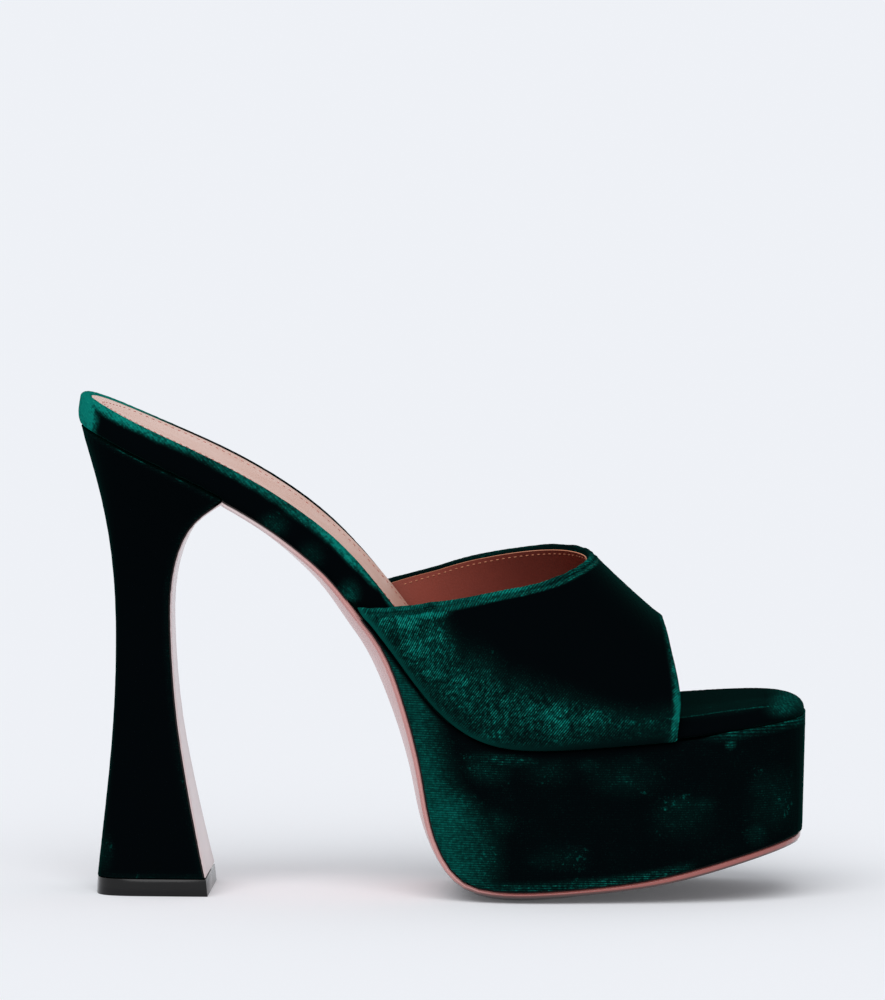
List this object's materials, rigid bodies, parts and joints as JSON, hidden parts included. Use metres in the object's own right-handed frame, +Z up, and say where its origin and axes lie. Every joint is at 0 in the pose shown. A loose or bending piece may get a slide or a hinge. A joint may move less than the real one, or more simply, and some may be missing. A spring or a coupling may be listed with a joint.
{
  "type": "platform mule",
  "caption": "Open-toe platform mule, right shoe: velvet band upper, wrapped footbed with a leather insole, thick platform, pink leather sole and a tall waisted heel.",
  "frame": {"origin": "on the floor, below the middle of the shoe's box", "axes": "+X from heel to toe, +Y to the inner side of the foot, +Z up from the floor"},
  "size_m": [0.2153, 0.0805, 0.1475],
  "materials": {
    "upper_velvet": "pile",
    "footbed_velvet": "pile",
    "insole_leather": "satin",
    "platform_velvet": "pile",
    "sole_leather": "gloss",
    "heel_velvet": "pile",
    "flap_leather": "gloss",
    "tip_rubber": "satin"
  },
  "bodies": {
    "root": {"upper": "upper_velvet", "footbed": "footbed_velvet", "insole": "insole_leather", "platform": "platform_velvet", "outsole": "sole_leather", "heel": "heel_velvet", "breast_flap": "flap_leather", "top_piece": "tip_rubber"}
  },
  "joints": []
}
